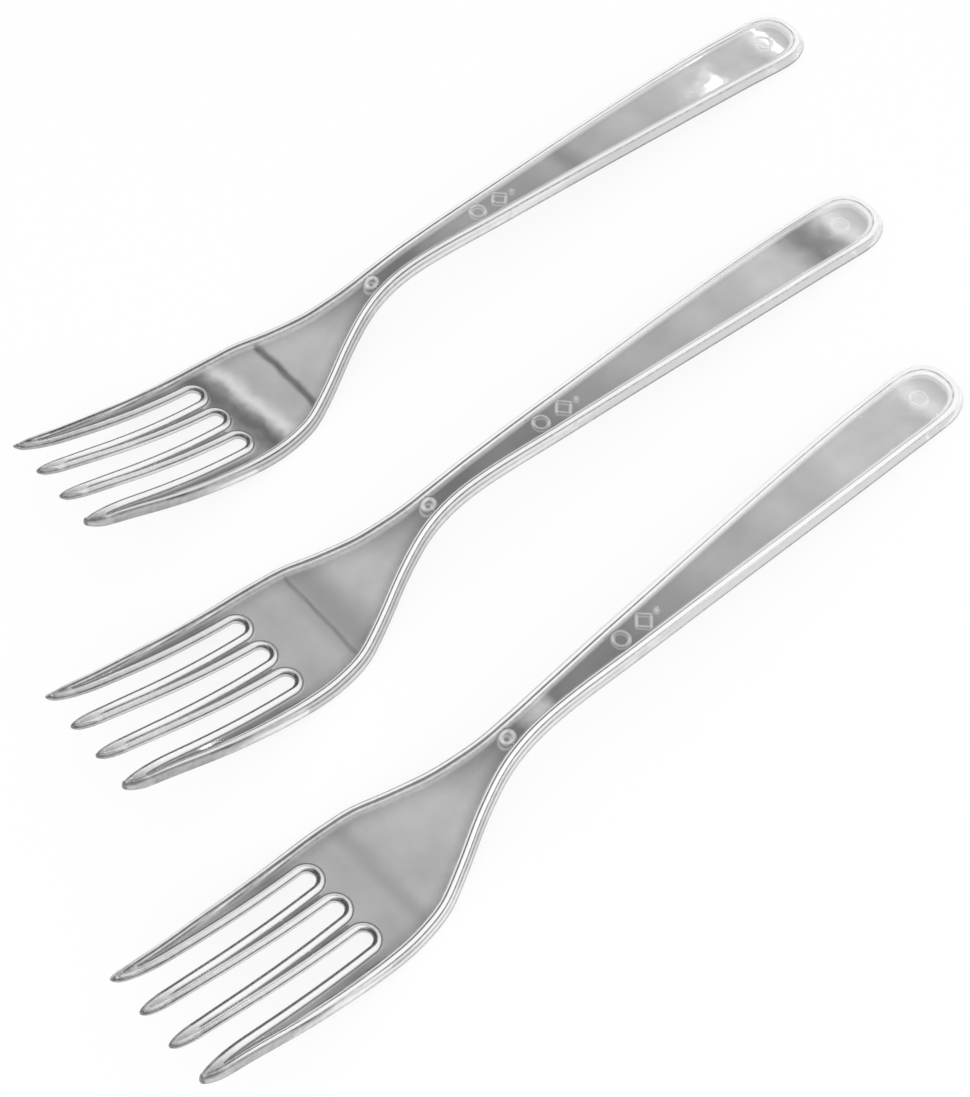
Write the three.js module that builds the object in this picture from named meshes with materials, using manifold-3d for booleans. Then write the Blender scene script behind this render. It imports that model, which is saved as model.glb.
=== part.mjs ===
// A pack of three alike clear plastic forks that lie side by side on a table, tips the same way.
// Units are millimetres and +Z is up. +X runs along the middle fork from its tips to its handle end.
// The origin is on the table, under the middle of the pack.
import * as THREE from "three";
import { mergeVertices } from "three/addons/utils/BufferGeometryUtils.js";
import Module from "manifold-3d";

const wasm = await Module();
wasm.setup();

// Overall sizes of one fork, seen from above
const forkLength = 180;
const headWidth = 26.2;
const neckWidth = 6.8;
const handleEndWidth = 13.8;

// Places along the fork, measured from the tips
const widestAt = 36;
const neckAt = 74;
const crestAt = 76;
const pipAt = 69.2;

// Tines and the slots between them
const tineLength = 34.2;
const slotWidth = 3;
const slotPitch = 6.55;
const tineTipWidth = 2.4;
const outerTineTipWidth = 3.3;
const outerTipInset = 3;
const tipBlunt = 0.3;
const noseLength = 5;
const longNoseLength = 9;

// Section of the moulding
const wallThickness = 1.75;
const tipThickness = 1.1;
const tipTaperLength = 12;
const rimWidth = 2.2;
const rimWidthAtEnd = 3.4;
const wallLean = 0.8;
const beadHeight = 0.55;
const edgeLand = 0.25;
const slotBeadWidth = 1.3;
const slotBeadSetback = 0.04;

// Heights of the underside above the table
const tipRise = 14.6;
const crestHeight = 10;

// Level stretches of the underside that the fork rests on
const bowlRestFrom = 39.5;
const bowlRestLength = 5;
const endRestLength = 5;

// The pip at the neck: a low round button with a dished top
const pipDiameter = 2.9;
const pipHeight = 0.6;
const pipDish = 0.35;

// How the outer two forks lie beside the middle one: the place of their tips, and their turn
const rearFork = { along: 22.8, across: 42, turnDegrees: 0.2 };
const frontFork = { along: -18.5, across: -43.2, turnDegrees: 2.2 };

// How finely round and curved stretches are divided
const noseSteps = 5;
const slotSideSteps = 4;
const slotArcSteps = 8;
const slotBeadSteps = 36;
const handleEndSteps = 7;
const beadSides = 6;
const pipSides = 16;

// A smooth curve through points of rising x, with no overshoot, so that level stretches stay level.
function smoothThrough(points) {
  const last = points.length - 1;
  const rise = points.slice(1).map(([x, y], i) => (y - points[i][1]) / (x - points[i][0]));
  const slope = points.map((_, i) => {
    if (i === 0) return rise[0];
    if (i === last) return rise[last - 1];
    const before = rise[i - 1];
    const after = rise[i];
    return before * after <= 0 ? 0 : (2 * before * after) / (before + after);
  });
  return (x) => {
    let i = 0;
    while (i < last - 1 && x > points[i + 1][0]) i++;
    const [x0, y0] = points[i];
    const [x1, y1] = points[i + 1];
    const width = x1 - x0;
    const s = (x - x0) / width;
    const blend = s * s * (3 - 2 * s);
    const leave = s * (1 - s) * (1 - s);
    const arrive = s * s * (1 - s);
    return y0 + (y1 - y0) * blend + width * (slope[i] * leave - slope[i + 1] * arrive);
  };
}

// Height of the underside along the fork: the tines curve up, the bowl rests, the neck arches up
// and the handle comes down to its end.
const bowlRestTo = bowlRestFrom + bowlRestLength;
const endRestFrom = forkLength - endRestLength;
const neckSpan = crestAt - bowlRestTo;
const handleSpan = endRestFrom - crestAt;
const underside = smoothThrough([
  [0, tipRise],
  [bowlRestFrom * 0.25, tipRise * 0.64],
  [bowlRestFrom * 0.5, tipRise * 0.34],
  [bowlRestFrom * 0.75, tipRise * 0.12],
  [bowlRestFrom, 0],
  [bowlRestTo, 0],
  [bowlRestTo + neckSpan * 0.25, crestHeight * 0.15],
  [bowlRestTo + neckSpan * 0.5, crestHeight * 0.5],
  [bowlRestTo + neckSpan * 0.75, crestHeight * 0.86],
  [crestAt, crestHeight],
  [crestAt + handleSpan * 0.25, crestHeight * 0.82],
  [crestAt + handleSpan * 0.55, crestHeight * 0.56],
  [crestAt + handleSpan * 0.85, crestHeight * 0.22],
  [endRestFrom, 0],
  [forkLength, 0],
]);

// Wall thickness along the fork: the tines thin out towards their tips.
const thickness = smoothThrough([
  [0, tipThickness],
  [tipTaperLength, wallThickness],
  [forkLength, wallThickness],
]);

// Height of the sunk panel.
function panelTop(x) {
  return underside(x) + thickness(x);
}

// Half the width along the fork, up to where the handle end rounds off.
const headHalf = headWidth / 2;
const neckHalf = neckWidth / 2;
const endHalf = handleEndWidth / 2;
const shoulderSpan = neckAt - widestAt;
const flare = headHalf - neckHalf;
const endRoundFrom = forkLength - endHalf * 1.3;
const outerTip = headHalf - outerTipInset;
const halfWidth = smoothThrough([
  [0, outerTip + outerTineTipWidth * 0.36],
  [noseLength, outerTip + outerTineTipWidth * 0.38],
  [widestAt * 0.55, headHalf - outerTipInset * 0.23],
  [widestAt, headHalf],
  [widestAt + shoulderSpan * 0.22, neckHalf + flare * 0.92],
  [widestAt + shoulderSpan * 0.42, neckHalf + flare * 0.62],
  [widestAt + shoulderSpan * 0.63, neckHalf + flare * 0.26],
  [widestAt + shoulderSpan * 0.84, neckHalf + flare * 0.04],
  [neckAt, neckHalf],
  [neckAt + (endRoundFrom - neckAt) * 0.23, neckHalf + (endHalf - neckHalf) * 0.25],
  [neckAt + (endRoundFrom - neckAt) * 0.85, neckHalf + (endHalf - neckHalf) * 0.93],
  [endRoundFrom, endHalf],
]);

// Round nose of a tine: 0 at its point and 1 where the nose ends.
function nose(x, length) {
  const left = 1 - Math.min(x / length, 1);
  return Math.sqrt(1 - left * left);
}

// Places along a nose, closer together at its point.
function noseStations(length) {
  return Array.from({ length: noseSteps + 1 }, (_, i) => length * (i / noseSteps) ** 2);
}

// Edge of a tine beside its middle line: blunt at the point, then a round nose, then the full half width.
function besideTip(x, fullHalf, length) {
  return tipBlunt / 2 + (fullHalf - tipBlunt / 2) * nose(x, length);
}

// Places along the fork at which its section is set.
function stations() {
  const places = [...noseStations(noseLength), bowlRestFrom, bowlRestTo];
  const add = (from, to, step) => {
    const count = Math.max(1, Math.round((to - from) / step));
    for (let i = 0; i <= count; i++) places.push(from + ((to - from) * i) / count);
  };
  add(noseLength, widestAt, 4);
  add(bowlRestTo, neckAt + 10, 3);
  add(neckAt + 10, endRoundFrom, 8);
  return [...new Set(places)].sort((a, b) => a - b);
}

// The outline on one side, from the tip of the outer tine to the middle of the handle end.
function sideOutline() {
  const side = stations().map((x) => {
    const besideMiddle = halfWidth(x) - outerTip;
    return new THREE.Vector2(x, outerTip + besideTip(x, besideMiddle, noseLength));
  });
  const squareness = 0.85;
  for (let i = 1; i <= handleEndSteps; i++) {
    const turn = (i / handleEndSteps) * (Math.PI / 2);
    const x = endRoundFrom + (forkLength - endRoundFrom) * Math.sin(turn) ** squareness;
    const y = i === handleEndSteps ? 0 : endHalf * Math.cos(turn) ** squareness;
    side.push(new THREE.Vector2(x, y));
  }
  return side;
}

// Outward direction at each point of the outline: straight out at the tines, straight back at the handle end.
function outwardDirections(outline) {
  return outline.map((point, i) => {
    if (point.x <= noseLength) return new THREE.Vector2(0, 1);
    if (i === outline.length - 1) return new THREE.Vector2(1, 0);
    const run = outline[i + 1].clone().sub(outline[i - 1]).normalize();
    return new THREE.Vector2(-run.y, run.x);
  });
}

// The rim's section from the underside to the panel: distance in from the outline, and height.
function rimSection(x) {
  const panel = thickness(x);
  return [
    { inset: edgeLand, height: 0 },
    { inset: 0, height: edgeLand },
    { inset: wallLean, height: panel + beadHeight * 0.6 },
    { inset: (wallLean + rimWidth) / 2, height: panel + beadHeight },
    { inset: rimWidth, height: panel },
  ];
}

// The fork without its slots: the rim's section follows the outline, and level strips close panel and underside.
function blankGeometry() {
  const outline = sideOutline();
  const outward = outwardDirections(outline);
  const rings = rimSection(0).length;
  const positions = [];
  const triangles = [];
  const index = (station, ring, side) => 2 * (station * rings + ring) + side;
  const quad = (a, b, c, d) => triangles.push(a, b, c, a, c, d);

  outline.forEach((point, station) => {
    rimSection(point.x).forEach(({ inset, height }) => {
      const endInset = (inset * rimWidthAtEnd) / rimWidth;
      const x = point.x - endInset * outward[station].x;
      const y = point.y - inset * outward[station].y;
      const z = underside(x) + height;
      positions.push(x, y, z, x, -y, z);
    });
  });

  for (let s = 0; s < outline.length - 1; s++) {
    for (let r = 0; r < rings - 1; r++) {
      quad(index(s, r, 0), index(s, r + 1, 0), index(s + 1, r + 1, 0), index(s + 1, r, 0));
      quad(index(s, r, 1), index(s + 1, r, 1), index(s + 1, r + 1, 1), index(s, r + 1, 1));
    }
    quad(index(s, 0, 0), index(s + 1, 0, 0), index(s + 1, 0, 1), index(s, 0, 1));
    const top = rings - 1;
    quad(index(s, top, 0), index(s, top, 1), index(s + 1, top, 1), index(s + 1, top, 0));
  }
  for (let r = 0; r < rings - 1; r++) {
    quad(index(0, r, 0), index(0, r, 1), index(0, r + 1, 1), index(0, r + 1, 0));
  }
  const geometry = new THREE.BufferGeometry();
  geometry.setAttribute("position", new THREE.Float32BufferAttribute(positions, 3));
  geometry.setIndex(triangles);
  return geometry;
}

// The two tine edges that bound a slot, as distances from the fork's middle line at a place along it.
const slotRadius = slotWidth / 2;
const slotCentreAt = tineLength - slotRadius;
const innerTineMiddle = slotPitch / 2;
const innerTine = (x) => {
  const root = (slotPitch - slotWidth) / 2;
  const taper = Math.max(0, (x - noseLength) / (slotCentreAt - noseLength));
  const half = tineTipWidth / 2 + (root - tineTipWidth / 2) * taper;
  return besideTip(x, half, noseLength);
};
const outerTineInside = (x) => {
  const full = outerTip - (slotPitch + slotRadius);
  return outerTip - besideTip(x, full, longNoseLength);
};
const middleSlot = {
  centre: 0,
  left: (x) => innerTineMiddle - innerTine(x),
  right: (x) => -(innerTineMiddle - innerTine(x)),
};
const leftSlot = {
  centre: slotPitch,
  left: outerTineInside,
  right: (x) => innerTineMiddle + innerTine(x),
};
const rightSlot = {
  centre: -slotPitch,
  left: (x) => -(innerTineMiddle + innerTine(x)),
  right: (x) => -outerTineInside(x),
};
const slots = [leftSlot, middleSlot, rightSlot];

// Places along a slot's sides, from the tips to its round end.
function slotStations() {
  const places = noseStations(noseLength);
  for (let i = 0; i < slotSideSteps; i++) {
    places.push(longNoseLength + ((slotCentreAt - longNoseLength) * i) / slotSideSteps);
  }
  return places;
}

// What is cut away between two tines: open at the front, round at the other end.
function slotCutter(slot) {
  const front = -noseLength;
  const margin = 5;
  const depth = tipRise + wallThickness + 2 * margin;
  const places = slotStations();
  const shape = new THREE.Shape();
  shape.moveTo(front, slot.right(0));
  places.forEach((x) => shape.lineTo(x, slot.right(x)));
  shape.absarc(slotCentreAt, slot.centre, slotRadius, -Math.PI / 2, Math.PI / 2, false);
  places.reverse().forEach((x) => shape.lineTo(x, slot.left(x)));
  shape.lineTo(front, slot.left(0));
  const options = { depth, bevelEnabled: false, curveSegments: slotArcSteps };
  return new THREE.ExtrudeGeometry(shape, options).translate(0, 0, -margin);
}

// The bead round a slot: a round rib that follows the two tines and the slot's round end.
function slotBead(slot) {
  const radius = slotBeadWidth / 2;
  const sink = radius - beadHeight;
  const inset = radius + slotBeadSetback;
  const startAt = noseLength * 0.6;
  const points = [];
  const add = (x, y) => points.push(new THREE.Vector3(x, y, panelTop(x) - sink));
  const places = [startAt, ...slotStations().filter((x) => x > startAt)];
  places.forEach((x) => add(x, slot.right(x) - inset));
  for (let i = 0; i <= slotArcSteps; i++) {
    const turn = -Math.PI / 2 + (Math.PI * i) / slotArcSteps;
    const reach = slotRadius + inset;
    add(slotCentreAt + reach * Math.cos(turn), slot.centre + reach * Math.sin(turn));
  }
  places.reverse().forEach((x) => add(x, slot.left(x) + inset));
  const path = new THREE.CurvePath();
  points.slice(1).forEach((point, i) => path.add(new THREE.LineCurve3(points[i], point)));
  const section = new THREE.Shape().absarc(0, 0, radius, 0, 2 * Math.PI);
  const options = { steps: slotBeadSteps, extrudePath: path, curveSegments: beadSides / 2 };
  return new THREE.ExtrudeGeometry(section, options);
}

// The pip: a short round button, dished on top, square to the panel where it stands.
function pipGeometry() {
  const radius = pipDiameter / 2;
  const root = -wallThickness / 2;
  const profile = [
    new THREE.Vector2(0, root),
    new THREE.Vector2(radius, root),
    new THREE.Vector2(radius, pipHeight * 0.6),
    new THREE.Vector2(radius * 0.8, pipHeight),
    new THREE.Vector2(radius * 0.45, pipHeight - pipDish * 0.6),
    new THREE.Vector2(0, pipHeight - pipDish),
  ];
  const slope = Math.atan2(panelTop(pipAt + 1) - panelTop(pipAt - 1), 2);
  const pip = new THREE.LatheGeometry(profile, pipSides);
  pip.rotateX(Math.PI / 2);
  pip.rotateY(-slope);
  return pip.translate(pipAt, 0, panelTop(pipAt));
}

// A closed geometry as a solid for joining and cutting.
function toSolid(geometry) {
  const bare = geometry.clone();
  bare.deleteAttribute("normal");
  bare.deleteAttribute("uv");
  const merged = mergeVertices(bare, 1e-4);
  return new wasm.Manifold(
    new wasm.Mesh({
      numProp: 3,
      vertProperties: merged.attributes.position.array,
      triVerts: new Uint32Array(merged.index.array),
    }),
  );
}

// A solid back as a geometry.
function toGeometry(solid) {
  const mesh = solid.getMesh();
  const geometry = new THREE.BufferGeometry();
  geometry.setAttribute("position", new THREE.BufferAttribute(mesh.vertProperties, 3));
  geometry.setIndex(new THREE.BufferAttribute(mesh.triVerts, 1));
  geometry.computeVertexNormals();
  return geometry;
}

// One whole fork, with its tips at x = 0 and its rest on z = 0.
function forkGeometry() {
  let fork = toSolid(blankGeometry());
  for (const slot of slots) fork = fork.add(toSolid(slotBead(slot)));
  for (const slot of slots) fork = fork.subtract(toSolid(slotCutter(slot)));
  fork = fork.add(toSolid(pipGeometry()));
  return toGeometry(fork);
}

// The pack: three copies of the fork, placed as they lie, about the middle of the whole pack.
const clearPlastic = new THREE.MeshStandardMaterial({
  name: "clear_polystyrene",
  color: 0xc9cbcc,
  roughness: 0.08,
  metalness: 0,
  transparent: true,
  opacity: 0.55,
});
const fork = forkGeometry();

function lay(name, { along, across, turnDegrees }) {
  const mesh = new THREE.Mesh(fork, clearPlastic);
  mesh.name = name;
  mesh.position.set(along, across, 0);
  mesh.rotation.z = THREE.MathUtils.degToRad(turnDegrees);
  return mesh;
}

const forks = new THREE.Group();
forks.add(lay("rear_fork", rearFork));
forks.add(lay("middle_fork", { along: 0, across: 0, turnDegrees: 0 }));
forks.add(lay("front_fork", frontFork));

const box = new THREE.Box3().setFromObject(forks, true);
const middle = box.getCenter(new THREE.Vector3());
forks.position.set(-middle.x, -middle.y, 0);

const pack = new THREE.Group();
pack.name = "cutlery_pack";
pack.add(forks);

export default pack;
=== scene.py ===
import math

import bpy
import numpy as np
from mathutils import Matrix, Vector
from mathutils.geometry import delaunay_2d_cdt


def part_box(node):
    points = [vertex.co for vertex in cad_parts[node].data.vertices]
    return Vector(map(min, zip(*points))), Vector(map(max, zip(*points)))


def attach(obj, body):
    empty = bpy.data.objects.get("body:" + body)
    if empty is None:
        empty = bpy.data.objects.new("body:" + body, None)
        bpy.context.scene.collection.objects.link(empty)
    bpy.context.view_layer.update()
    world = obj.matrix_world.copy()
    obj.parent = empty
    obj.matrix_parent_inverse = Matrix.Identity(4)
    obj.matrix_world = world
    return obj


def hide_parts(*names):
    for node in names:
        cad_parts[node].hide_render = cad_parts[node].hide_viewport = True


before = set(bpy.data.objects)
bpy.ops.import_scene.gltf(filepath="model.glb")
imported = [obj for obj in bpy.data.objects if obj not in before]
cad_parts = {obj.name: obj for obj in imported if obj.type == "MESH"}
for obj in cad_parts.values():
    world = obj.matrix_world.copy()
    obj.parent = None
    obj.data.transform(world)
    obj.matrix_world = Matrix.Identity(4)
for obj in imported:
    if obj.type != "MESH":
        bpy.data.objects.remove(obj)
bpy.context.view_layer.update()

# The fork's side view
# A disposable table fork, injection moulded in one piece of clear polystyrene. It stands on its bowl
# and on its handle end, with the tines and the neck arched up. Sizes are in millimetres.
MM = 0.001
LENGTH = 180.0
CREST_AT = 76.0
CREST_RISE = 10.0
TIP_RISE = 14.6
BOWL_REST = (39.5, 44.5)
END_REST = 175.0
WALL = 1.75
TIP_WALL = 1.1
TIP_TAPER = 12.0
BEND_SOFTENING = 5.0
SOFTENING_STEPS = 9


def smooth_through(points):
    """A smooth curve through points of rising x that never overshoots, so level stretches stay level."""
    x, y = np.array(points, float).T
    rise = np.diff(y) / np.diff(x)
    before, after = rise[:-1], rise[1:]
    total = np.where(before + after == 0, 1, before + after)
    inner = np.where(before * after > 0, 2 * before * after / total, 0)
    slope = np.concatenate([rise[:1], inner, rise[-1:]])

    def curve(at):
        i = np.clip(np.searchsorted(x, at) - 1, 0, len(x) - 2)
        width = x[i + 1] - x[i]
        s = (at - x[i]) / width
        bend = width * (slope[i] * s * (1 - s) ** 2 - slope[i + 1] * s * s * (1 - s))
        return y[i] + (y[i + 1] - y[i]) * s * s * (3 - 2 * s) + bend

    return curve


def softened(curve, reach):
    """The same curve averaged over a short stretch, so that its bends flow into each other."""
    offsets = np.linspace(-reach, reach, SOFTENING_STEPS)
    return lambda at: np.mean([curve(np.minimum(at + o, LENGTH)) for o in offsets], axis=0)


neck_span = CREST_AT - BOWL_REST[1]
handle_span = END_REST - CREST_AT
underside = softened(smooth_through([
    (0, TIP_RISE),
    (BOWL_REST[0] * 0.25, TIP_RISE * 0.64),
    (BOWL_REST[0] * 0.5, TIP_RISE * 0.34),
    (BOWL_REST[0] * 0.75, TIP_RISE * 0.12),
    (BOWL_REST[0], 0),
    (BOWL_REST[1], 0),
    (BOWL_REST[1] + neck_span * 0.25, CREST_RISE * 0.15),
    (BOWL_REST[1] + neck_span * 0.5, CREST_RISE * 0.5),
    (BOWL_REST[1] + neck_span * 0.75, CREST_RISE * 0.86),
    (CREST_AT, CREST_RISE),
    (CREST_AT + handle_span * 0.25, CREST_RISE * 0.82),
    (CREST_AT + handle_span * 0.55, CREST_RISE * 0.56),
    (CREST_AT + handle_span * 0.85, CREST_RISE * 0.22),
    (END_REST, 0),
    (LENGTH, 0),
]), BEND_SOFTENING)
wall_at = smooth_through([(0, TIP_WALL), (TIP_TAPER, WALL), (LENGTH, WALL)])

# The fork's outline
# The plan of the moulding: two outer tines that follow the flare of the head, two straight inner tines
# with round-ended slots between them, a narrow neck, and a handle that widens to a round end.
HEAD_HALF = 13.1
NECK_HALF = 3.4
END_HALF = 6.9
WIDEST_AT = 36.0
NECK_AT = 74.0
TINE_LENGTH = 34.2
SLOT_RADIUS = 1.5
SLOT_PITCH = 6.55
TINE_TIP_HALF = 1.2
OUTER_TIP_INSET = 3.0
OUTER_TIP_HALF = 1.19
OUTER_NOSE_HALF = 1.25
OUTER_TINE_LEAN = 0.69
NOSE = 5.0
LONG_NOSE = 9.0
END_ROUND = 1.3
END_FULLNESS = 0.85
EDGE_SOFTENING = 2.0
EDGE_STEP = 0.45
NOSE_STEP = 0.2
SIDE_STEPS = 400
QUARTER_STEPS = 60
SLOT_END_STEPS = 19

outer_tip = HEAD_HALF - OUTER_TIP_INSET
shoulder = NECK_AT - WIDEST_AT
flare = HEAD_HALF - NECK_HALF
end_round = LENGTH - END_HALF * END_ROUND
handle_run = end_round - NECK_AT
widening = END_HALF - NECK_HALF
half_width = softened(smooth_through([
    (0, outer_tip + OUTER_TIP_HALF),
    (NOSE, outer_tip + OUTER_NOSE_HALF),
    (WIDEST_AT * 0.55, HEAD_HALF - OUTER_TINE_LEAN),
    (WIDEST_AT, HEAD_HALF),
    (WIDEST_AT + shoulder * 0.22, NECK_HALF + flare * 0.92),
    (WIDEST_AT + shoulder * 0.42, NECK_HALF + flare * 0.62),
    (WIDEST_AT + shoulder * 0.63, NECK_HALF + flare * 0.26),
    (WIDEST_AT + shoulder * 0.84, NECK_HALF + flare * 0.04),
    (NECK_AT, NECK_HALF),
    (NECK_AT + handle_run * 0.23, NECK_HALF + widening * 0.25),
    (NECK_AT + handle_run * 0.85, NECK_HALF + widening * 0.93),
    (end_round, END_HALF),
]), EDGE_SOFTENING)
slot_centre = TINE_LENGTH - SLOT_RADIUS
tine_middle = SLOT_PITCH / 2
tine_root_half = tine_middle - SLOT_RADIUS
quarter_turn = np.linspace(0, math.pi / 2, QUARTER_STEPS)


def spaced(points, step):
    """The same line with points a step apart."""
    points = np.array(points, float)
    run = np.concatenate([[0], np.cumsum(np.linalg.norm(np.diff(points, axis=0), axis=1))])
    at = np.linspace(0, run[-1], max(2, round(run[-1] / step) + 1))
    return np.column_stack([np.interp(at, run, points[:, k]) for k in (0, 1)])


def mirrored(line):
    """The same line on the other side of the fork."""
    return line * [1, -1]


def nose(middle, half, length):
    """One side of a tine's point, drawn as a quarter of an oval."""
    along = length * (1 - np.cos(quarter_turn))
    return np.column_stack([along, middle + half * np.sin(quarter_turn)])


def tine_edge(point, root):
    """A tine's edge: close points round its nose, then a straight run to the slot's round end."""
    return np.vstack([spaced(point, NOSE_STEP), spaced([point[-1], root], EDGE_STEP)[1:]])


def slot_end(centre):
    """The round end of a slot, from its left side to its right."""
    turn = np.linspace(math.pi / 2, -math.pi / 2, SLOT_END_STEPS)[1:-1]
    return np.column_stack([slot_centre + SLOT_RADIUS * np.cos(turn), centre + SLOT_RADIUS * np.sin(turn)])


outer_nose = nose(0, 1, NOSE)
outer_nose[:, 1] = outer_tip + (half_width(outer_nose[:, 0]) - outer_tip) * outer_nose[:, 1]
side_run = np.linspace(NOSE, end_round, SIDE_STEPS)
handle_end = np.column_stack([
    end_round + (LENGTH - end_round) * np.sin(quarter_turn) ** END_FULLNESS,
    half_width(end_round) * np.abs(np.cos(quarter_turn)) ** END_FULLNESS,
])
long_edge = np.vstack([np.column_stack([side_run, half_width(side_run)]), handle_end[1:]])
left_edge = np.vstack([spaced(outer_nose, NOSE_STEP), spaced(long_edge, EDGE_STEP)[1:]])
outside = np.vstack([left_edge, mirrored(left_edge)[::-1][1:]])

outer_tine = tine_edge(
    nose(outer_tip, SLOT_PITCH + SLOT_RADIUS - outer_tip, LONG_NOSE),
    (slot_centre, SLOT_PITCH + SLOT_RADIUS),
)
inner_left, inner_right = [
    tine_edge(
        nose(tine_middle, side * TINE_TIP_HALF, NOSE),
        (slot_centre, tine_middle + side * tine_root_half),
    )
    for side in (1, -1)
]
half_of_slots = [outer_tine, slot_end(SLOT_PITCH), inner_left[::-1], inner_right[1:]]
other_half = [mirrored(line)[::-1] for line in reversed(half_of_slots)]
slots = mirrored(np.vstack([*half_of_slots, slot_end(0), *other_half]))
outline = np.vstack([outside, slots[1:-1]])
closed_outline = np.vstack([outline, outline[:1]])


def distance(points, line):
    """Distance of each point from a line of short segments, taken in lots to spare memory."""
    lot_size = 2000
    start, run = line[:-1], np.diff(line, axis=0)
    size = np.einsum("ij,ij->i", run, run)
    nearest = []
    for lot in np.array_split(points, len(points) // lot_size + 1):
        gap = lot[:, None] - start[None]
        s = np.clip(np.einsum("ijk,jk->ij", gap, run) / size, 0, 1)
        nearest.append(np.linalg.norm(gap - s[..., None] * run[None], axis=2).min(axis=1))
    return np.concatenate(nearest)


# The mould marks
# A dished pip at the neck where the plastic entered the mould, three plain raised marks on the handle,
# and the round witness of an ejector pin near its end. All are moulded with the fork.
PIP_AT = 69.2
PIP_RADIUS = 1.45
PIP_RISE = 0.6
PIP_DISH = 0.35
# Shares of the pip's radius: the reach of its dish, the foot and head of its side, and its ring, painted
# white as a highlight.
PIP_DISH_REACH = 0.72
PIP_SIDE = (1.05, 0.75)
PIP_RING_AT, PIP_RING_REACH = 0.68, 0.34
PIP_RING_STRENGTH = 1.4
PIP_RING_HIGHLIGHT = 0.85
RING_AT, RING_RADIUS = 94.6, 1.4
DIAMOND_AT, DIAMOND_REACH = 99.9, 1.7
DOT_AT, DOT_RADIUS = 102.9, 0.6
EJECTOR_AT, EJECTOR_RADIUS = 171.0, 1.6
MARK_RISE = 0.14
MARK_LINE = 0.3
# The strokes of the marks are painted white, a painted highlight on their ridges.
MARK_HIGHLIGHT = 0.6


def beside(away, at, reach):
    """1 on a line, falling to 0 at its reach to either side."""
    return np.clip(1 - np.abs(away - at) / reach, 0, 1)


def ramp(value, start, end):
    """0 at the start and before it, rising evenly to 1 at the end and past it."""
    return np.clip((value - start) / (end - start), 0, 1)


def mould_marks(x, y):
    """How high the marks stand on the panel, and how far they are painted white over its grey as a
    highlight.
    """
    strokes = np.sqrt(
        beside(np.hypot(x - RING_AT, y), RING_RADIUS, MARK_LINE)
        + beside(np.abs(x - DIAMOND_AT) + np.abs(y), DIAMOND_REACH, MARK_LINE)
        + beside(np.hypot(x - DOT_AT, y), 0, DOT_RADIUS)
        + beside(np.hypot(x - EJECTOR_AT, y), EJECTOR_RADIUS, MARK_LINE)
    )
    out = np.hypot(x - PIP_AT, y) / PIP_RADIUS
    dish = PIP_RISE - PIP_DISH * np.clip(1 - (out / PIP_DISH_REACH) ** 2, 0, 1)
    pip = dish * np.sin(ramp(out, *PIP_SIDE) * math.pi / 2)
    pip_ring = np.clip(PIP_RING_STRENGTH * beside(out, PIP_RING_AT, PIP_RING_REACH), 0, 1)
    return MARK_RISE * strokes + pip, np.clip(MARK_HIGHLIGHT * strokes + PIP_RING_HIGHLIGHT * pip_ring, 0, 1)


# The beads and the panel
# A rounded bead stiffens every edge, with a leaning wall outside it, and the panel lies sunk between the
# beads. The rim is narrower on the tines and wider round the handle end; the slots have slim beads.
RIM = 2.2
RIM_ON_TINES = 1.6
TINES_NARROW = (TINE_LENGTH, TINE_LENGTH - 20)
RIM_AT_END = 3.4
END_WIDENS = (LENGTH - 11, LENGTH - 3)
WALL_LEAN = 0.8
BEAD = 0.55
BEAD_SHOULDER = 0.6
SLOT_BEAD = 1.36
SLOT_BEAD_SHOULDER = 0.35
SLOT_BEVEL = 1.0
# The leaning wall stands on a low upright land, which the upturned nose of a tine makes higher.
LAND = 0.25
NOSE_LAND = 0.15
NOSE_LIFT = 1.0
FOOT_SLOPE = 0.8
# The panel's painted grey fades in across the foot of a bead, from inside the bead to a little past it.
PANEL_GREY_EDGE = (-0.245, 0.105)
# The rim is painted near white as a painted highlight, fully on its leaning wall and a little less on its
# bead.
BEAD_HIGHLIGHT = 0.75


def bead(at, start, end, shoulder_share):
    """A rounded bead across its width: a shoulder on the edge side, a crest, and a foot on the panel."""
    crest = (start + end) / 2
    up = np.sin(ramp(at, start, crest) * math.pi / 2)
    down = np.cos(ramp(at, crest, end) * math.pi / 2) ** 2
    return BEAD * np.where(at < crest, shoulder_share + (1 - shoulder_share) * up, down)


def to_edges(plan):
    """Distance of plan points from the slots, and from the outside, scaled so that the rim is RIM wide."""
    x, y = plan.T
    near_end = ramp(x, *END_WIDENS) * (1 - (y / END_HALF) ** 2)
    rim_width = RIM + (RIM_AT_END - RIM) * near_end + (RIM_ON_TINES - RIM) * ramp(x, *TINES_NARROW)
    return distance(plan, slots), distance(plan, outside) * RIM / rim_width


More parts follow.
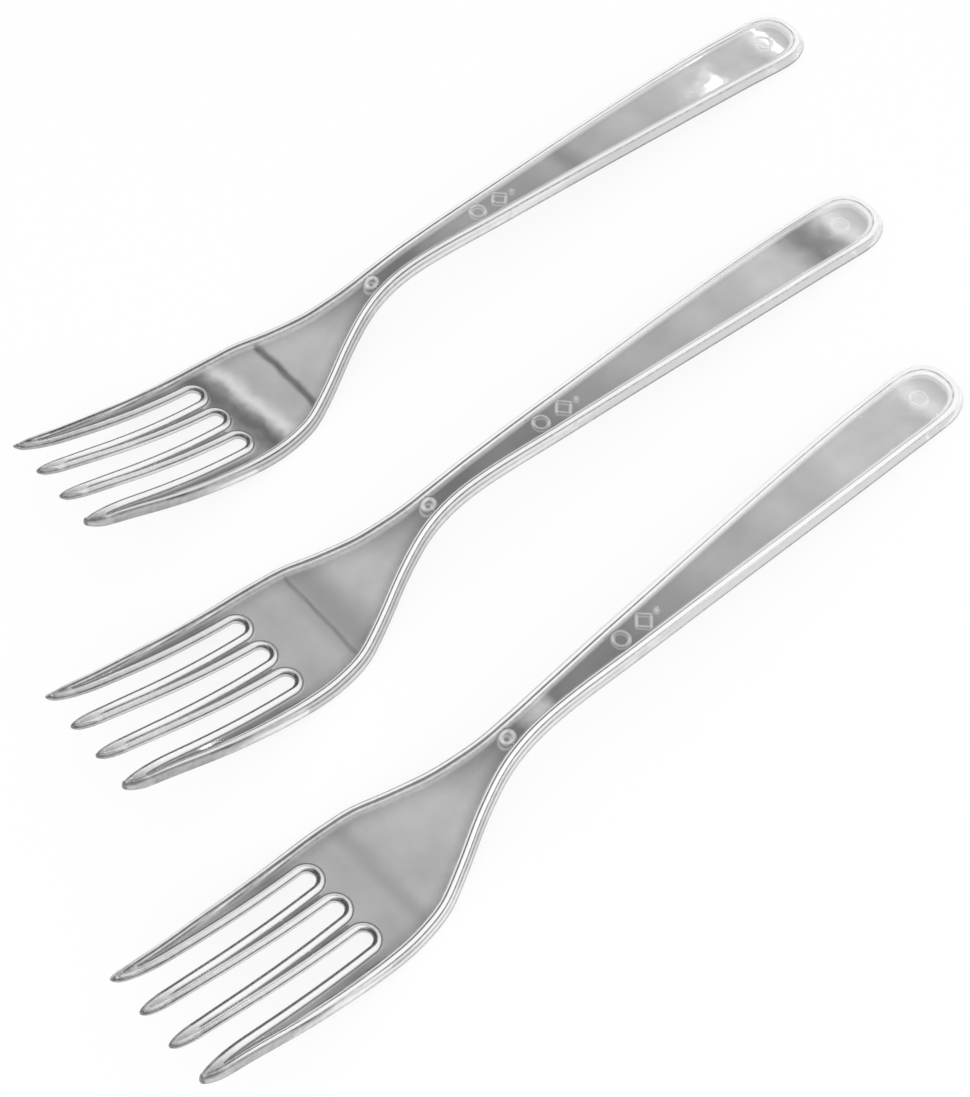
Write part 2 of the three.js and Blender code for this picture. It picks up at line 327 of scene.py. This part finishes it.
def surface(plan, slot, out):
    """Heights of the top and bottom face over plan points, how far each point is panel, and how far its rim
    is painted white as a highlight.
    """
    x, y = plan.T
    marks, mark_highlight = mould_marks(x, y)
    wall = wall_at(x)
    rim_bead = bead(out, WALL_LEAN, RIM, BEAD_SHOULDER)
    beads = np.maximum(rim_bead, bead(slot, 0, SLOT_BEAD, SLOT_BEAD_SHOULDER))
    lift = NOSE_LIFT * ramp(x, NOSE, 0) ** 2
    land = np.maximum(LAND, lift + NOSE_LAND)
    lean = land + (wall + BEAD * BEAD_SHOULDER - land) * out / WALL_LEAN
    top = np.where(out < WALL_LEAN, np.minimum(wall + beads, lean), wall + beads)
    foot = FOOT_SLOPE * np.clip(LAND - out, 0, LAND)
    slot_bevel = wall / WALL * np.clip(SLOT_BEVEL - slot, 0, SLOT_BEVEL)
    bottom = np.max([lift, foot, slot_bevel], axis=0)

    panel = ramp(out - RIM, *PANEL_GREY_EDGE) * ramp(slot - SLOT_BEAD, *PANEL_GREY_EDGE)
    rim_highlight = np.maximum((1 - panel) * np.where(out < WALL_LEAN, 1, BEAD_HIGHLIGHT), mark_highlight)
    base = underside(x)
    return base + top + marks, base + bottom, panel * (1 - mark_highlight), rim_highlight


# The dark lines
# Clear plastic looks dark where a curved edge turns away from the light: along the beads, round the lips
# of the slots and at the panel's edge. The lines are heaviest at the head and on its left side.
LEFT_SIDE = 1.6
LEFT_SIDE_FADES = (75, 65)
# A pair of strengths holds at the head and on the handle, and changes over along the neck.
NECK_STRETCH = (75, 120)
# Lines along the rim: distance from the edge, half width, and strength at the head and on the handle.
RIM_LINES = (
    (1.58, 0.28, 1.0, 0.6),
    (WALL_LEAN, 0.22, 0.75, 0.35),
    (WALL_LEAN / 2, 0.2, 0.6, 0.0),
)
RIM_LINES_CLEAR_SLOTS = 0.5
WALL_LINE = (0.48, 0.62)
WALL_LINE_REACH = 0.2
PANEL_LINE = (0.9, 0.4)
PANEL_LINE_REACH = 0.3
PANEL_SHADE = (0.48, 0.288)
PANEL_SHADE_CHANGES = (70, 80)
PANEL_SHADE_REACH = 3.0
SLOT_LINE_REACH = 0.28
# A slot's lip is dark towards the handle and on its right, and only shaded on its left.
LIP_LINE = 0.75
LIP_SHIFT = (0.35, -0.18)
LIP_FADES = (0.46, 0.26)
LIP_SHADE = (0.45, 0.15)
LIP_SHADE_SHIFT = (0.0, 0.35)
LIP_SHADE_FADES = (0.55, 0.35)
SLOT_WALL_LINE = (0.46, 0.2)
GROOVE_REACH = 0.3
GROOVE_STARTS = (3, 6)
TINE_WALL_SHADE = 0.4
TINE_WALL_FADES = (30, 5)
TINE_WALL_EDGE = (0.9, 0.6)
TIP_SHADE = 0.6
TIP_FADES = (11, 2)
TIP_EDGE = (0.3, 0.7)
TIP_LINES = 0.8


def from_head_to_handle(x, strengths):
    """A line's strength, which changes from the head to the handle along the neck."""
    return np.interp(x, NECK_STRETCH, strengths)


def dark_lines(plan, slot, out):
    """How dark each plan point is drawn, from 0 to 1."""
    x, y = plan.T
    off_slots = slot > SLOT_BEAD
    wider = 1 + (LEFT_SIDE - 1) * (y > 0) * ramp(x, *LEFT_SIDE_FADES)
    rim_lines = [
        beside(out, at, reach * wider) * from_head_to_handle(x, strengths) * (slot > RIM_LINES_CLEAR_SLOTS)
        for at, reach, *strengths in RIM_LINES
    ]
    wall_line = beside(out, 0, WALL_LINE_REACH) * from_head_to_handle(x, WALL_LINE)
    panel_line = beside(out, RIM, PANEL_LINE_REACH) * from_head_to_handle(x, PANEL_LINE) * off_slots
    panel_shade = ramp(out, RIM + PANEL_SHADE_REACH * wider, RIM) * (out > RIM) * off_slots
    panel_shade = panel_shade * np.interp(x, PANEL_SHADE_CHANGES, PANEL_SHADE)
    slot_line = beside(slot, SLOT_BEAD, SLOT_LINE_REACH) * (out > RIM)
    lip_line = LIP_LINE * ramp(distance(plan, slots + LIP_SHIFT), *LIP_FADES)
    lip_shade = ramp(distance(plan, slots + LIP_SHADE_SHIFT), *LIP_SHADE_FADES)
    lip_shade = lip_shade * np.interp(x, (NOSE, TINE_LENGTH), LIP_SHADE)
    groove = beside(np.abs(y), tine_middle, GROOVE_REACH) * ramp(x, *GROOVE_STARTS) * (x < slot_centre)
    tine_wall = np.minimum(ramp(x, *TINE_WALL_FADES), TINE_WALL_SHADE) * ramp(out, *TINE_WALL_EDGE)
    edge_lines = [*rim_lines, wall_line, panel_line, panel_shade]
    slot_lines = [slot_line, lip_line, lip_shade, groove, tine_wall]
    lines = np.max(edge_lines + slot_lines, axis=0)
    tip = TIP_SHADE * ramp(x, *TIP_FADES) * ramp(np.minimum(slot, out), *TIP_EDGE)
    return np.maximum(lines * np.clip(x / NOSE, TIP_LINES, 1), tip)


# The fork's mesh
# Points in plan follow every edge in close rows and fill the panel with a plain grid. They are joined
# into triangles once, for the top and the bottom face, and a wall round the outline closes the piece.
ROWS = (0.1, 0.25, 0.42, 0.62, 0.8, 0.95, 1.15, 1.36, 1.58, 1.85, 2.1, 2.4, 2.75)
END_ROWS = (2.95, 3.15, 3.35, 3.55, 3.8)
END_STRETCH = LENGTH - 20
ROW_SLACK = 0.03
GROOVE_ROWS = (0, -0.17, 0.17, -0.34, 0.34)
GRID = 0.8
GRID_START = 1
GRID_CLEAR_OF_ROWS = 0.3
GRID_CLEAR_OF_END_ROWS = 0.2
FINE_GRID = 0.16
FINE_GRID_HALF = 2
CIRCLE_POINTS = 40
CIRCLE_SHARES = np.linspace(0.15, 1.1, 12)
CLOSEST = 0.11
SAME_POINT = 1e-6
# Rows on the wall round the outline, as shares of its height from the top.
WALL_ROWS = (0.08, 0.92)


def grid(x_range, y_half, step):
    """Points a step apart over a stretch of the fork's length, out to a half width."""
    across = np.arange(-y_half, y_half, step)
    return np.stack(np.meshgrid(np.arange(*x_range, step), across), -1).reshape(-1, 2)


def inside(points):
    """True for points on the plastic, by counting the edges crossed on the way out."""
    result = np.zeros(len(points), bool)
    for (x0, y0), (x1, y1) in zip(closed_outline, closed_outline[1:]):
        if y0 != y1:
            spans = (points[:, 1] >= min(y0, y1)) & (points[:, 1] < max(y0, y1))
            result ^= spans & (points[:, 0] < x0 + (points[:, 1] - y0) * (x1 - x0) / (y1 - y0))
    return result


def plan_rows():
    """Rows beside every edge, along the grooves of the inner tines and round the marks, then the grid."""
    run = np.roll(outline, -1, axis=0) - np.roll(outline, 1, axis=0)
    into = np.column_stack([run[:, 1], -run[:, 0]]) / np.linalg.norm(run, axis=1)[:, None]
    rows = []
    for inset in ROWS + END_ROWS:
        row = outline + into * inset
        row = row if inset in ROWS else row[outline[:, 0] > END_STRETCH]
        rows.append(row[distance(row, closed_outline) > inset - ROW_SLACK])
    for step in GROOVE_ROWS:
        along = np.arange(GROOVE_STARTS[0], slot_centre, EDGE_STEP)
        groove = np.column_stack([along, np.full(len(along), tine_middle + step)])
        rows += [groove, mirrored(groove)]
    rows.append(grid((RING_AT - FINE_GRID_HALF, DOT_AT + 1), FINE_GRID_HALF, FINE_GRID))
    turn = np.linspace(0, 2 * math.pi, CIRCLE_POINTS, endpoint=False)
    circle = np.column_stack([np.cos(turn), np.sin(turn)])
    for centre, radius in ((PIP_AT, PIP_RADIUS), (EJECTOR_AT, EJECTOR_RADIUS + MARK_LINE)):
        rows.append([(centre, 0)])
        rows += [[centre, 0] + circle * radius * share for share in CIRCLE_SHARES]
    filling = grid((GRID_START, LENGTH), HEAD_HALF, GRID)
    at_end = filling[:, 0] > END_STRETCH
    clear = np.where(at_end, END_ROWS[-1] + GRID_CLEAR_OF_END_ROWS, ROWS[-1] + GRID_CLEAR_OF_ROWS)
    rows.append(filling[inside(filling) & (distance(filling, closed_outline) > clear)])
    return rows


def thinned(start, rows):
    """A start line's points and then the rows' points, without any that crowd one already kept."""
    kept = [tuple(point) for point in start]
    cells = {(int(x // CLOSEST), int(y // CLOSEST)): (x, y) for x, y in kept}
    for x, y in np.vstack(rows):
        i, j = int(x // CLOSEST), int(y // CLOSEST)
        near = (cells.get((i + a, j + b), (LENGTH, LENGTH)) for a in (-1, 0, 1) for b in (-1, 0, 1))
        if all(math.hypot(n[0] - x, n[1] - y) > CLOSEST for n in near):
            cells[i, j] = (x, y)
            kept.append((x, y))
    return kept


ring_count = len(outline)
edges = [(i, (i + 1) % ring_count) for i in range(ring_count)]
INSIDE_EDGES = 1
points, _, triangles, *_ = delaunay_2d_cdt(
    [Vector(p) for p in thinned(outline, plan_rows())], edges, [], INSIDE_EDGES, SAME_POINT)
plan = np.array([tuple(p) for p in points])
slot, out = to_edges(plan)
top, bottom, panel, rim_highlight = surface(plan, slot, out)
line = dark_lines(plan, slot, out)


def fork_mesh(name):
    """A closed mesh of one fork, which carries where its panel, its painted rim highlight and its dark
    lines lie.
    """
    count = len(plan)
    ring_top, ring_bottom = top[:ring_count], bottom[:ring_count]
    layers = [np.column_stack([plan, top]), np.column_stack([plan, bottom])]
    for share in WALL_ROWS:
        level = ring_top + (ring_bottom - ring_top) * share
        layers.append(np.column_stack([plan[:ring_count], level]))
    faces = [tuple(f) for f in triangles]
    faces += [tuple(count + i for i in reversed(f)) for f in triangles]
    starts = [0, 2 * count, 2 * count + ring_count, count]
    for upper, lower in zip(starts, starts[1:]):
        faces += [(upper + i, upper + j, lower + j, lower + i) for i, j in edges]
    mesh = bpy.data.meshes.new(name)
    mesh.from_pydata((np.vstack(layers) * MM).tolist(), [], faces)
    mesh.update()
    none = np.zeros(count)
    wall = np.ones(ring_count * len(WALL_ROWS))
    wall_line = np.interp(outline[:, 0], (NOSE, slot_centre), SLOT_WALL_LINE)
    wall_line[:len(outside)] = from_head_to_handle(outside[:, 0], WALL_LINE)
    wall_line = np.tile(wall_line, len(WALL_ROWS))
    for label, parts in (
        ("sunk_panel", (panel, panel, wall * 0)),
        ("painted_rim_highlight", (rim_highlight, none, wall)),
        ("edge_line", (line, none, wall_line)),
    ):
        carrier = mesh.attributes.new(label, "FLOAT", "POINT")
        carrier.data.foreach_set("value", np.concatenate(parts).astype(np.float32))
    mesh.polygons.foreach_set("use_smooth", [True] * len(mesh.polygons))
    return mesh


# Crystal polystyrene
# Injection moulded in polished steel, so it is hard, glassy and bright. The flat panel's grey is painted
# shade and reflection, with painted light and dark bands; the beads are painted near white as a highlight.
CLOUD_SIZE = 10 * MM
FLOW_SIZE = 5 * MM
RIPPLE_SIZE = 3 * MM
# The grain of the dark lines is drawn coarser than it is in the plastic, so that it shows.
GRAIN_SIZE = 1 * MM
# Most values of a noise lie in the first span; the finer grain is drawn with more contrast.
NOISE_SPAN = (0.3, 0.7)
GRAIN_SPAN = (0.35, 0.65)
CLOUD_TONES = (0.86, 1.12)
GRAIN_TONES = (0.88, 1.0)
LINE_EDGE = (0.1, 0.75)
ROUGHNESS = (0.03, 0.09)
RIPPLE_HEIGHT = 0.1 * MM
RIPPLE_STRENGTH = 0.15
POLYSTYRENE_IOR = 1.59
# The painted rim highlight: near white, and less clear than the panel.
RIM_CLEARNESS = 0.4
RIM_HIGHLIGHT_COLOUR = "#fafafa"
LINE_COLOUR = "#3c3c3c"
# The panel's grey from the tips to the handle end, painted shade and reflection: deepest on the tines and
# at the neck.
PANEL_PAINTED_SHADE = (
    (27, "#7c7c7c"),
    (36, "#b0b0b0"),
    (55, "#c0c0c0"),
    (72, "#707070"),
    (90, "#787878"),
    (119, "#a8a8a8"),
    (155, "#c8c8c8"),
)


def linear(hex_colour):
    """An sRGB hex colour as linear red, green and blue, with full alpha."""
    parts = [int(hex_colour[i:i + 2], 16) / 255 for i in (1, 3, 5)]
    return [c / 12.92 if c <= 0.04045 else ((c + 0.055) / 1.055) ** 2.4 for c in parts] + [1.0]


def add(tree, kind, inputs=None, **settings):
    """Adds a node, sets it up, and fills its inputs with values or links."""
    made = tree.nodes.new(kind)
    for key, value in settings.items():
        setattr(made, key, value)
    for key, value in (inputs or {}).items():
        if isinstance(value, bpy.types.NodeSocket):
            tree.links.new(value, made.inputs[key])
        else:
            made.inputs[key].default_value = value
    return made


def crystal_polystyrene(name, painted_reflection_bands):
    """Clear plastic with the painted reflection bands of one fork, each by its place, reach, slant, waver
    and colour.
    """
    material = bpy.data.materials.new(name)
    material.use_nodes = True
    tree = material.node_tree
    tree.nodes.clear()
    place = add(tree, "ShaderNodeTexCoord").outputs["Object"]
    along, across, _ = add(tree, "ShaderNodeSeparateXYZ", {0: place}).outputs
    clouds = add(tree, "ShaderNodeTexNoise", {"Vector": place, "Scale": 1 / CLOUD_SIZE, "Detail": 4.0})
    flow = add(tree, "ShaderNodeTexNoise", {"Vector": place, "Scale": 1 / FLOW_SIZE, "Detail": 3.0})
    ripples = add(tree, "ShaderNodeTexNoise", {"Vector": place, "Scale": 1 / RIPPLE_SIZE, "Detail": 1.0})
    grain = add(tree, "ShaderNodeTexNoise", {"Vector": place, "Scale": 1 / GRAIN_SIZE, "Detail": 2.0})

    # The panel's painted shade along the fork, mottled at random, with the painted reflection bands over
    # it.
    share = add(tree, "ShaderNodeMath", {0: along, 1: LENGTH * MM}, operation="DIVIDE")
    painted_shade_ramp = add(tree, "ShaderNodeValToRGB", {0: share.outputs[0]})
    painted_shade_ramp.color_ramp.interpolation = "EASE"
    stops = painted_shade_ramp.color_ramp.elements
    stops.remove(stops[1])
    for at, colour in PANEL_PAINTED_SHADE:
        stops.new(at / LENGTH).color = linear(colour)
    stops.remove(stops[0])
    low, high = NOISE_SPAN
    darkest, lightest = CLOUD_TONES
    cloudy = add(tree, "ShaderNodeMapRange",
                 {0: clouds.outputs[0], 1: low, 2: high, 3: darkest, 4: lightest})
    panel_tone = add(tree, "ShaderNodeMix", {0: 1.0, 6: painted_shade_ramp.outputs[0], 7: cloudy.outputs[0]},
                data_type="RGBA", blend_type="MULTIPLY")
    waver = add(tree, "ShaderNodeMapRange", {0: flow.outputs[0], 1: low, 2: high, 3: -MM, 4: MM})
    for at, reach, slant, wavering, colour in painted_reflection_bands:
        slanted = add(tree, "ShaderNodeMath", {0: across, 1: slant, 2: along}, operation="MULTIPLY_ADD")
        shifted = add(tree, "ShaderNodeMath", {0: waver.outputs[0], 1: wavering, 2: slanted.outputs[0]},
                      operation="MULTIPLY_ADD")
        away = add(tree, "ShaderNodeMath", {0: shifted.outputs[0], 1: at * MM}, operation="SUBTRACT")
        off = add(tree, "ShaderNodeMath", {0: away.outputs[0]}, operation="ABSOLUTE")
        weight = add(tree, "ShaderNodeMapRange", {0: off.outputs[0], 1: 0.0, 2: reach * MM, 3: 1.0, 4: 0.0},
                     interpolation_type="SMOOTHSTEP")
        panel_tone = add(tree, "ShaderNodeMix", {0: weight.outputs[0], 6: panel_tone.outputs[2], 7: linear(colour)},
                    data_type="RGBA")

    # The panel's grey, the painted near-white rim highlight, and the dark lines over them.
    panel = add(tree, "ShaderNodeAttribute", attribute_name="sunk_panel").outputs["Fac"]
    rim = add(tree, "ShaderNodeAttribute", attribute_name="painted_rim_highlight").outputs["Fac"]
    edge = add(tree, "ShaderNodeAttribute", attribute_name="edge_line").outputs["Fac"]
    body = add(tree, "ShaderNodeMix", {0: panel, 6: linear(RIM_HIGHLIGHT_COLOUR), 7: panel_tone.outputs[2]},
               data_type="RGBA")
    faint, full = GRAIN_TONES
    grainy = add(tree, "ShaderNodeMapRange",
                 {0: grain.outputs[0], 1: GRAIN_SPAN[0], 2: GRAIN_SPAN[1], 3: faint, 4: full})
    drawn = add(tree, "ShaderNodeMath", {0: edge, 1: grainy.outputs[0]}, operation="MULTIPLY")
    crisp = add(tree, "ShaderNodeMapRange",
                {0: drawn.outputs[0], 1: LINE_EDGE[0], 2: LINE_EDGE[1], 3: 0.0, 4: 1.0},
                interpolation_type="SMOOTHSTEP")
    tint = add(tree, "ShaderNodeMix", {0: crisp.outputs[0], 6: body.outputs[2], 7: linear(LINE_COLOUR)},
               data_type="RGBA")
    through = add(tree, "ShaderNodeMapRange", {0: rim, 3: 1.0, 4: RIM_CLEARNESS})
    glossiest, dullest = ROUGHNESS
    gloss = add(tree, "ShaderNodeMapRange",
                {0: flow.outputs[0], 1: low, 2: high, 3: glossiest, 4: dullest})
    ripple = add(tree, "ShaderNodeBump", {
        "Strength": RIPPLE_STRENGTH,
        "Distance": RIPPLE_HEIGHT,
        "Height": ripples.outputs[0],
    })
    shader = add(tree, "ShaderNodeBsdfPrincipled", {
        "Base Color": tint.outputs[2],
        "Roughness": gloss.outputs[0],
        "IOR": POLYSTYRENE_IOR,
        "Transmission Weight": through.outputs[0],
        "Normal": ripple.outputs[0],
    })
    add(tree, "ShaderNodeOutputMaterial", {"Surface": shader.outputs[0]})
    return material


# The three forks
# Three mouldings of one mould, laid side by side with their tines the same way. Each has painted
# reflections and shade of its own, as light and dark bands and fine lines across the bowl and the handle.
middle_low, middle_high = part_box("middle_fork")
middle_tip = Vector((middle_low[0], (middle_low[1] + middle_high[1]) / 2, 0))
# A painted glint across the handle end at the ejector mark, on all three forks.
END_GLINT = (EJECTOR_AT, 4.0, 0.0, 1.2, "#e4e4e4")
# Place along and across from the middle fork's tip, turn in degrees, and painted reflection bands, each
# over the last.
ROW = {
    "rear_fork": {
        "along": 22.8,
        "across": 42.0,
        "turn": 0.2,
        "painted_reflection_bands": (
            (40.8, 3.0, 0.12, 1.2, "#dcdcdc"),
            (36.2, 3.6, 0.16, 1.4, "#606060"),
            (48.5, 1.0, 0.0, 0.35, "#505050"),
            (92.0, 16.0, 0.0, 2.0, "#9c9c9c"),
            (117.0, 5.0, 0.0, 1.0, "#8a8a8a"),
            END_GLINT,
        ),
    },
    "middle_fork": {
        "along": 0.0,
        "across": 0.0,
        "turn": 0.0,
        "painted_reflection_bands": (
            (47.5, 6.0, 0.0, 0.2, "#989898"),
            (45.2, 0.45, 0.0, 0.2, "#787878"),
            (163.0, 8.0, 0.0, 2.0, "#808080"),
            END_GLINT,
        ),
    },
    "front_fork": {
        "along": -18.5,
        "across": -43.2,
        "turn": 2.2,
        "painted_reflection_bands": (
            (17.0, 15.0, 0.0, 1.0, "#a4a4a4"),
            (42.0, 2.8, 0.0, 0.4, "#a2a2a2"),
            (75.5, 3.6, 0.0, 1.2, "#c8c8c8"),
            END_GLINT,
        ),
    },
}
for node, laid in ROW.items():
    piece = bpy.data.objects.new("clear_" + node, fork_mesh("clear_" + node))
    bpy.context.scene.collection.objects.link(piece)
    piece.location = middle_tip + Vector((laid["along"], laid["across"], 0)) * MM
    piece.rotation_euler.z = math.radians(laid["turn"])
    piece.data.materials.append(crystal_polystyrene("crystal_polystyrene_" + node, laid["painted_reflection_bands"]))
    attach(piece, "root")
    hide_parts(node)

# The table
# A plain white sheet that fills the view. It reads as white to the eye and through the plastic, and
# keeps a faint shadow of the forks. It lies a hair under them, so that no faces share a plane.
TABLE_REACH = 3.0
TABLE_DROP = -0.0003
TABLE_GLOW = 0.85
TABLE_COLOUR = "#f4f4f4"
sheet = bpy.data.meshes.new("table")
corners = ((-1, -1), (1, -1), (1, 1), (-1, 1))
sheet.from_pydata([(x * TABLE_REACH, y * TABLE_REACH, TABLE_DROP) for x, y in corners], [], [(0, 1, 2, 3)])
table = bpy.data.objects.new("table", sheet)
bpy.context.scene.collection.objects.link(table)
paper = bpy.data.materials.new("white_paper")
paper.use_nodes = True
tree = paper.node_tree
tree.nodes.clear()
path = add(tree, "ShaderNodeLightPath").outputs
bounced = add(tree, "ShaderNodeMath", {0: path["Is Glossy Ray"], 1: path["Is Transmission Ray"]},
              operation="MAXIMUM")
seen = add(tree, "ShaderNodeMath", {0: path["Is Camera Ray"], 1: bounced.outputs[0]}, operation="MAXIMUM")
share = add(tree, "ShaderNodeMath", {0: seen.outputs[0], 1: TABLE_GLOW}, operation="MULTIPLY")
lit = add(tree, "ShaderNodeBsdfDiffuse", {"Color": linear(TABLE_COLOUR)})
glow = add(tree, "ShaderNodeEmission", {"Strength": 1.0})
mixed = add(tree, "ShaderNodeMixShader", {0: share.outputs[0], 1: lit.outputs[0], 2: glow.outputs[0]})
add(tree, "ShaderNodeOutputMaterial", {"Surface": mixed.outputs[0]})
sheet.materials.append(paper)

# The studio
# A pale room, a little darker near the floor, one soft key light beside the camera, and a small strip
# light that glints in the handle of the rear fork. Places and sizes of the lights are in metres.
ROOM_AT_FLOOR = 0.75
ROOM_OVERHEAD = 0.95
OVERHEAD_FROM = 0.9
KEY_LIGHT = {"stands": (-0.35, -0.6, 0.7), "aims": (0, 0, 0), "size": (1.0, 1.0), "watts": 3.8}
STRIP_LIGHT = {
    "stands": (0.6524, 0.3732, 0.4626),
    "aims": (0.09, 0.04, 0),
    "size": (0.05, 0.03),
    "watts": 0.066,
}
world = bpy.data.worlds.new("pale_room")
bpy.context.scene.world = world
world.use_nodes = True
tree = world.node_tree
tree.nodes.clear()
path = add(tree, "ShaderNodeLightPath").outputs
direction = add(tree, "ShaderNodeTexCoord").outputs["Generated"]
height = add(tree, "ShaderNodeSeparateXYZ", {0: direction}).outputs["Z"]
level = add(tree, "ShaderNodeMapRange",
            {0: height, 1: 0.0, 2: OVERHEAD_FROM, 3: ROOM_AT_FLOOR, 4: ROOM_OVERHEAD})
strength = add(tree, "ShaderNodeMix", {0: path["Is Camera Ray"], 2: level.outputs[0], 3: 1.0})
room = add(tree, "ShaderNodeBackground", {"Color": (1, 1, 1, 1), "Strength": strength.outputs[0]})
add(tree, "ShaderNodeOutputWorld", {"Surface": room.outputs[0]})


def softbox(name, stands, aims, size, watts):
    """A flat lamp that faces a point."""
    lamp = bpy.data.lights.new(name, "AREA")
    lamp.shape = "RECTANGLE"
    lamp.size, lamp.size_y = size
    lamp.energy = watts
    made = bpy.data.objects.new(name, lamp)
    bpy.context.scene.collection.objects.link(made)
    made.location = stands
    made.rotation_euler = (Vector(aims) - Vector(stands)).to_track_quat("-Z", "Y").to_euler()


softbox("key_light", **KEY_LIGHT)
softbox("strip_light", **STRIP_LIGHT)

# The camera
# It looks down at the row from beside the tips of the front fork, close enough that the forks draw
# together towards the far end. The frame's long side and the focal length are in pixels of the photo.
VIEW_TURN = math.radians(-41.43)
VIEW_RISE = math.radians(59.42)
VIEW_DISTANCE = 0.3295
LOOKS_AT = Vector((-0.01827, -0.00933, 0.00305))
FRAME_LONG_SIDE = 1097
FOCAL_LENGTH = 1947
SENSOR = 36
NEAREST = 0.01
view = bpy.data.cameras.new("camera")
view.sensor_width = SENSOR
view.lens = SENSOR * FOCAL_LENGTH / FRAME_LONG_SIDE
view.clip_start = NEAREST
camera = bpy.data.objects.new("camera", view)
bpy.context.scene.collection.objects.link(camera)
back = Vector((
    math.sin(VIEW_TURN) * math.cos(VIEW_RISE),
    -math.cos(VIEW_TURN) * math.cos(VIEW_RISE),
    math.sin(VIEW_RISE),
))
camera.location = LOOKS_AT + back * VIEW_DISTANCE
camera.rotation_euler = (-back).to_track_quat("-Z", "Y").to_euler()
bpy.context.scene.camera = camera
bpy.context.scene.view_settings.view_transform = "Standard"
